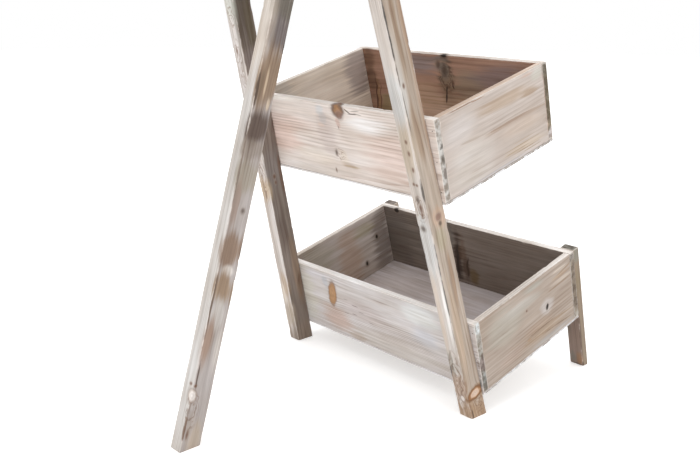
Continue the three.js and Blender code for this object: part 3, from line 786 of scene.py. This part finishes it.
        burls=[(-4, 30, 6, 22, 40, 8, 9)],
        splits=onFace(6, 3, [(-4, -8, 2.2, 20, "33271F", 8), (-22, 14, 2, 8, "4A2F22", -14),
            (198, -30, 3, 46, "5E4232", 4), (186, -34, 1.8, 40, "6E5240", 4)]),
        # the pale warm patches on the lower half of the inner face are partly painted light, lifting the
        # shade inside the box
        stains=onFace(6, 10, [(-20, -40, 230, 36, "E4C6B0", 0.8), (-8, 30, 22, 50, "6E6152", 0.85),
            (-14, -10, 26, 46, "A88D77", 0.6), (206, 20, 20, 60, "7A5F4C", 0.8),
            (192, -40, 7, 50, "A5825F", 0.75), (166, -48, 24, 30, "A08F6C", 0.8),
            (60, 50, 70, 24, "988D8E", 0.75), (60, -20, 60, 40, "D6B69C", 0.6),
            (-60, 10, 40, 50, "A0907C", 0.6), (-140, 34, 90, 34, "8A7A7A", 0.7),
            (-90, -30, 70, 26, "E6BC9E", 0.7)]) + [(-227, 60, 0, 6, 14, 10, "8F897E", 0.8),
            (-227, -60, 0, 6, 14, 10, "CFC6C4", 0.95)]),
    "middle_end_board_left": dict(
        form="board", tones="A0968C A0968C C3B8B0 A28F80 DCC8B8 B4AFAA",
        ring=4.6, pith=(-30, 46), lean=(0.6, 1), wavy=4, lines=0.5, streaks=0.07, bruised=0.5,
        calm=[(90, 20, -6, 80, 60, 8, 0.95), (-10, 50, -6, 120, 26, 8, 0.8)],
        splits=onFace(-6, 2, [(-40, 2, 66, 2.6, "A08B7C"), (-100, 0, 40, 2, "AC9A8C", 2),
            (58, 7, 36, 2.2, "B5A79C", 4), (80, 68, 36, 1.1, "8A6C58"), (40, 66.5, 18, 1.2, "9A7C68"),
            (-64, -47, 50, 1, "A8947F"), (-50, -53, 46, 1, "A8947F"), (-72, -58, 44, 1.1, "9C866F"),
            (-66, -40, 40, 0.9, "B3A08E"), (-86, -63, 34, 1, "A8947F")]),
        stains=onFace(-6, 8, [(-34, 42, 88, 15, "B9A694", 0.85), (-96, 34, 32, 12, "AC9783", 0.85),
            (-40, 0, 80, 6, "B8A698", 0.75), (58, 7, 44, 5, "BFB3A9", 0.6),
            (-70, -54, 60, 10, "C9B9A6", 0.65), (70, -30, 60, 50, "D3CDC7", 0.7),
            (90, 30, 50, 34, "CFC8C4", 0.7), (-118, 58, 20, 16, "C9C6BC", 0.8),
            (-60, -16, 60, 12, "D6C8BD", 0.6), (-90, 64, 26, 4, "C7AC9C", 0.6),
            (0, -67, 120, 3, "BFC0C2", 0.6)])),
    "middle_end_board_right": dict(
        form="board", tones="A0968C A0968C F4E9DB CAC1B8 ECE6E0 B2ABA4",
        ring=4.2, pith=(28, 52), lines=0.35,
        calm=[(-20, 40, -6, 120, 50, 8, 0.8)],
        stains=[(-110, 30, -6, 40, 60, 8, "B4A8A5", 0.8), (0, 10, -6, 60, 30, 8, "FAEEE0", 0.7),
            (100, 50, -6, 40, 40, 8, "D0CCC4", 0.7)]),
    "top_rear_board": dict(
        form="board", tones="DFD6D0 B3A598 B0A69C C9BFB6 F0ECE8 A0948A",
        ring=4.7, pith=(36, -50), wavy=8, lines=0.8,
        knots=[(88, -22, 6, 12, 10, 14, "orange"), (-120, 34, 6, 4, 5, 5, "dark")],
        stains=[(-60, 10, 6, 70, 40, 8, "DCCABE", 0.6), (120, 30, 6, 60, 30, 8, "CABEB4", 0.5)]),
    "top_front_board": dict(
        form="board", tones="A39184 C9BFB6 ABA090 A0968C EAE4DE A0948A",
        pith=(-26, -46), lines=0.65, wash=0.4,
        knots=[(60, 18, -6, 11, 9, 14, "brown")],
        stains=[(-90, -10, -6, 70, 34, 8, "B9A898", 0.5)]),
    "top_end_board_left": dict(
        form="board", tones="A0968C A0968C D6CDC5 A89888 E4D4C6 A0948A",
        ring=4.3, pith=(24, 50),
        stains=[(30, 20, -6, 60, 24, 8, "BEAC9C", 0.6)]),
    "top_end_board_right": dict(
        form="board", tones="A0968C A0968C C2B5A8 CFC5BC E0D6CC A0948A",
        ring=4.1, pith=(-30, 54), wash=0.45,
        knots=[(40, -20, 6, 8, 7, 9, "brown")],
        stains=[(-40, 10, 6, 60, 30, 8, "BBAA9A", 0.5)]),
}
# bottom panels: the pale edge tones and the lighter upper face of the lower tier are painted light,
# offsetting the shade under and inside the boxes
for tier, floorTone in (("lower", "D9D3D5"), ("middle", "B9B2AD"), ("top", "B9B2AD")):
    woodPieces[tier + "_bottom_panel"] = dict(
        form="panel", tones="E6E6E8 E2E0DE E6E6E8 E2E0DE {} A89A8C".format(floorTone),
        ring=7.0, pith=(-60, -14), lean=(1.1, 1.6), lines=0.25, wash=0.4, wavy=22, streaks=0.05,
        rubbed=0.2, bruised=0.0, stains=[(150, -40, 2, 120, 120, 6, "C2B9B7", 0.7)])


def screwPlace(node):
    # the middle of a CAD screw's head, the way it faces, and its head's radius
    points = np.array([v.co for v in cadNodes[node].data.vertices])
    offsets = points - points.mean(0)
    way = np.linalg.svd(offsets, full_matrices=False)[2][0]
    along = offsets @ way
    across = np.linalg.norm(offsets - along[:, None] * way, axis=1)
    if across[along > np.median(along)].max() < across[along < np.median(along)].max():
        way = -way
    widest = np.flatnonzero(across > across.max() * 0.98)
    head = points[widest].mean(0)
    head = head + way * ((points @ way).max() - head @ way)
    return head, way, across.max()


sinkRoom, sinkDepth = 0.15, 2.9          # mm: round a screw's head, and below the face


def screwHoles(node, names):
    # where screws enter a board or leg: along and across in mm, radius, depth, and from which face
    axes, low, high = pieceFrame(node)[:3]
    middle = (low + high) / 2
    holes = []
    for name in names:
        head, way, radius = screwPlace(name)
        local = (axes @ head - middle) / mm
        holes.append((local[0], local[1], radius / mm + sinkRoom, sinkDepth, bool(axes[2] @ way > 0)))
    return holes


holesOf = {}
for node in cadNodes:
    if "_rail_screw_" in node:
        holesOf.setdefault(node.split("_rail_screw_")[0] + "_rear_board", []).append(node)
    if node.startswith("short_leg_screw_"):
        holesOf.setdefault("short_leg_" + node.split("_")[3], []).append(node)

sideOrder = ("rear", "front", "left", "right", "up", "down")
woodFaces = 0
for number, (node, piece) in enumerate(sorted(woodPieces.items())):
    seed = 3 + number * 1.37
    look = {**plainPine, **piece}
    for marks in ("knots", "splits"):
        look[marks] = [row + (0,) * (8 - len(row)) for row in look[marks]]    # no tilt where none is given
    tones = dict(zip(sideOrder, piece["tones"].split()))
    mesh = woodMesh(node, shapes[piece["form"]], tones, screwHoles(node, holesOf.get(node, [])), seed)
    kind = "washedPlywood" if piece["form"] == "panel" else "washedPine"
    mesh.materials.append(pineMaterial(kind + "_" + node, look, seed))
    wood = newObject(node + "_wood", mesh)
    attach(wood, bodyOf[node])
    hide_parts(node)
    woodFaces += len(mesh.polygons)
print("wood: {} pieces, {} faces".format(len(woodPieces), woodFaces))


def steelMaterial(name, base, dull, roughness, grainScale):
    # plated steel: a cool sheen with dull, slightly browned patches
    material, tree = newMaterial(name)
    place = add(tree, "TexCoord", out="Object")
    bloom = add(tree, "TexNoise", {"Vector": place, "Scale": grainScale, "Detail": 5.0, "Roughness": 0.6})
    drawn = add(tree, "Mapping", {"Vector": place, "Scale": (1600, 200, 900)})
    scratch = add(tree, "TexNoise", {"Vector": drawn, "Scale": 1.0, "Detail": 2.0})
    patch = add(tree, "MapRange", bloom, 0.42, 0.66, **smooth)
    colour = add(tree, "Mix", patch, {6: linear(base), 7: linear(dull)}, **blend)
    rough = add(tree, "MapRange", patch, 0.0, 1.0, roughness, roughness + 0.2)
    bump = add(tree, "Bump", {"Height": scratch, "Strength": 0.25, "Distance": 0.00005})
    skin = add(tree, "BsdfPrincipled", {
        "Base Color": colour, "Metallic": 1.0, "Roughness": rough, "Normal": bump})
    add(tree, "OutputMaterial", skin)
    return material


screwSteel = steelMaterial("yellowedZincScrews", "A89F8E", "7B6F5C", 0.34, 260.0)
hingeSteel = steelMaterial("dullZincHinge", "A5A6A6", "827C74", 0.38, 90.0)
bradSteel = steelMaterial("dullIronBrads", "6E6862", "4B4139", 0.5, 400.0)

screwSizes = {"Head radius": 0.004, "Shank radius": 0.0019, "Head length": 0.0026, "Length": 0.035,
              "Tip length": 0.005, "Tip radius": 0.0001, "Recess length": 0.0044, "Recess width": 0.0009,
              "Recess depth": 0.0016, "Head sides": 28, "Shank sides": 16, "Seed": 11}
shortLegSizes = {"Head radius": 0.0035, "Shank radius": 0.0016, "Head length": 0.0023, "Length": 0.026,
                 "Tip length": 0.004, "Recess length": 0.0039, "Recess width": 0.0008, "Seed": 12}
leafSizes = {"Head radius": 0.0028, "Shank radius": 0.0013, "Head length": 0.0014, "Length": 0.011,
             "Tip length": 0.003, "Recess length": 0.0032, "Recess width": 0.0007, "Recess depth": 0.0010}
screwSets = {                            # which CAD screws each set stands for, and what differs in size (m)
    "railScrews": ("_rail_screw_", {}),
    "shortLegScrews": ("short_leg_screw_", shortLegSizes),
    "fixedLeafScrews": ("hinge_fixed_screw_", {**leafSizes, "Seed": 13}),
    "movingLeafScrews": ("hinge_moving_screw_", {**leafSizes, "Seed": 14}),
}
bradSizes = {"Head radius": 0.0009, "Head height": 0.0003, "Shank radius": 0.0005, "Shank length": 0.008,
             "Head sides": 12, "Shank sides": 8, "Seed": 5}
brads = {"fromEnd": 6.2, "rows": (18, 70, 122), "bottomGap": 95.0, "bottomInset": 6.2, "bottomEnd": 25.0,
         "proud": 0.05}                  # mm


def newTree(name, sizes):
    # an empty Geometry Nodes tree with a named input for each size
    tree = bpy.data.node_groups.new(name, "GeometryNodeTree")
    tree.interface.new_socket("Geometry", in_out="INPUT", socket_type="NodeSocketGeometry")
    for label, value in sizes.items():
        kind = "NodeSocketInt" if isinstance(value, int) else "NodeSocketFloat"
        tree.interface.new_socket(label, in_out="INPUT", socket_type=kind).default_value = value
    tree.interface.new_socket("Geometry", in_out="OUTPUT", socket_type="NodeSocketGeometry")
    return tree, tree.nodes.new("NodeGroupInput").outputs


def scatterOn(tree, inputs, shape, material):
    # one shape on every point, its axis along the point's "aim", turned at random; then made real
    aim = add(tree, "GeometryNodeInputNamedAttribute", {"Name": "aim"}, data_type="FLOAT_VECTOR")
    facing = add(tree, "FunctionNodeAlignRotationToVector", {"Vector": aim}, axis="Z")
    turn = {2: 0.0, 3: math.tau, "Seed": inputs["Seed"]}
    turn = add(tree, "FunctionNodeRandomValue", turn, data_type="FLOAT", out=1)
    spin = add(tree, "FunctionNodeAxisAngleToRotation", {"Axis": (0, 0, 1), "Angle": turn})
    facing = add(tree, "FunctionNodeRotateRotation", facing, spin, rotation_space="LOCAL")
    placed = {"Points": inputs["Geometry"], "Instance": shape, "Rotation": facing}
    real = add(tree, "GeometryNodeRealizeInstances", add(tree, "GeometryNodeInstanceOnPoints", placed))
    painted = add(tree, "GeometryNodeSetMaterial", {"Geometry": real, "Material": material})
    add(tree, "NodeGroupOutput", painted)
    return tree


def countersunkScrewTree():
    # cone head with a cross recess, shank and point; the head's top is at 0 and faces +Z
    tree, inputs = newTree("countersunkScrew", screwSizes)

    def lowered(shape, depth):
        drop = add(tree, "CombineXYZ", {"Z": add(tree, "Math MULTIPLY", depth, -1.0)})
        return add(tree, "GeometryNodeTransform", {"Geometry": shape, "Translation": drop})

    head = add(tree, "GeometryNodeMeshCone", {
        "Vertices": inputs["Head sides"], "Radius Top": inputs["Head radius"],
        "Radius Bottom": inputs["Shank radius"], "Depth": inputs["Head length"]})
    cut = lowered(head, inputs["Head length"])
    deep = add(tree, "Math MULTIPLY", inputs["Recess depth"], 2.0)
    for long, short in (("Recess length", "Recess width"), ("Recess width", "Recess length")):
        arm = add(tree, "GeometryNodeMeshCube", add(tree, "CombineXYZ", inputs[long], inputs[short], deep))
        cut = add(tree, "GeometryNodeMeshBoolean DIFFERENCE", {"Mesh 1": cut, "Mesh 2": arm})
    length = add(tree, "Math SUBTRACT", inputs["Length"], inputs["Head length"])
    length = add(tree, "Math SUBTRACT", length, inputs["Tip length"])
    shank = add(tree, "GeometryNodeMeshCylinder", {
        "Vertices": inputs["Shank sides"], "Radius": inputs["Shank radius"], "Depth": length})
    half = add(tree, "Math MULTIPLY", length, 0.5)
    shank = lowered(shank, add(tree, "Math ADD", inputs["Head length"], half))
    tip = add(tree, "GeometryNodeMeshCone", {
        "Vertices": inputs["Shank sides"], "Radius Top": inputs["Shank radius"],
        "Radius Bottom": inputs["Tip radius"], "Depth": inputs["Tip length"]})
    tip = lowered(tip, inputs["Length"])
    joined = add(tree, "GeometryNodeJoinGeometry", [cut, shank, tip])
    return scatterOn(tree, inputs, joined, screwSteel)


def bradTree():
    # a small flat head on a short shank
    tree, inputs = newTree("brad", bradSizes)
    head = add(tree, "GeometryNodeMeshCylinder", {
        "Vertices": inputs["Head sides"], "Radius": inputs["Head radius"], "Depth": inputs["Head height"]})
    drop = add(tree, "CombineXYZ", {"Z": add(tree, "Math MULTIPLY", inputs["Shank length"], -0.5)})
    shank = add(tree, "GeometryNodeMeshCylinder", {
        "Vertices": inputs["Shank sides"], "Radius": inputs["Shank radius"], "Depth": inputs["Shank length"]})
    shank = add(tree, "GeometryNodeTransform", {"Geometry": shank, "Translation": drop})
    joined = add(tree, "GeometryNodeJoinGeometry", [head, shank])
    return scatterOn(tree, inputs, joined, bradSteel)


def growFasteners(name, tree, places, sizes, body):
    # points with the way each faces, given to the tree, then kept as a plain mesh
    seeds = bpy.data.meshes.new(name + "Places")
    seeds.from_pydata([tuple(place) for place, way in places], [], [])
    aims = seeds.attributes.new("aim", "FLOAT_VECTOR", "POINT")
    aims.data.foreach_set("vector", np.array([way for place, way in places], np.float32).ravel())
    holder = newObject(name + "Places", seeds)
    modifier = holder.modifiers.new(name, "NODES")
    modifier.node_group = tree
    for item in tree.interface.items_tree:
        if item.in_out == "INPUT" and item.name in sizes:
            modifier[item.identifier] = sizes[item.name]
    bpy.context.view_layer.update()
    mesh = bpy.data.meshes.new_from_object(holder.evaluated_get(bpy.context.evaluated_depsgraph_get()))
    mesh.name = name
    bpy.data.objects.remove(holder)
    for attribute in [a.name for a in mesh.attributes if a.name == "aim"]:
        mesh.attributes.remove(mesh.attributes[attribute])
    made = newObject(name, mesh)
    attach(made, body)
    return made


screwTree = countersunkScrewTree()
for name, (pattern, changes) in screwSets.items():
    nodes = sorted(node for node in cadNodes if pattern in node)
    places = [screwPlace(node)[:2] for node in nodes]
    screws = growFasteners(name, screwTree, places, {**screwSizes, **changes}, bodyOf[nodes[0]])
    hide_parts(*nodes)
    print("screws: {} x {}, {} faces".format(name, len(nodes), len(screws.data.polygons)))

bradPlaces = []
for node in sorted(cadNodes):
    if node.endswith("_bottom_panel"):                                # up into the boards
        axes, low, high = pieceFrame(node)[:3]
        for axis, other in ((0, 1), (1, 0)):
            ends = low[other] + brads["bottomEnd"] * mm, high[other] - brads["bottomEnd"] * mm
            for edge in (low[axis] + brads["bottomInset"] * mm, high[axis] - brads["bottomInset"] * mm):
                for place in spread(*ends, brads["bottomGap"] * mm, []):
                    local = np.array([edge, place, low[2]] if axis == 0 else [place, edge, low[2]])
                    bradPlaces.append((local @ axes - axes[2] * brads["proud"] * mm, -axes[2]))
    if node.endswith(("_rear_board", "_front_board")):                # through into the end boards
        axes, low, high = pieceFrame(node)[:3]
        out = 1 if node.endswith("_rear_board") else -1
        for along in (low[0] + brads["fromEnd"] * mm, high[0] - brads["fromEnd"] * mm):
            for row in brads["rows"]:
                local = np.array([along, low[1] + row * mm, high[2] if out > 0 else low[2]])
                bradPlaces.append((local @ axes, axes[2] * out))
bradHeads = growFasteners("boxBrads", bradTree(), bradPlaces, bradSizes, "ladder")
print("brads: {}, {} faces".format(len(bradPlaces), len(bradHeads.data.polygons)))

for node in ("hinge_fixed_leaf", "hinge_moving_leaf", "hinge_pin"):
    for place in cadNodes[node].material_slots:
        place.material = hingeSteel
print("hinge: plated")

size = {"cad": [list(v) for v in cadBox], "visual": [list(v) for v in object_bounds()]}
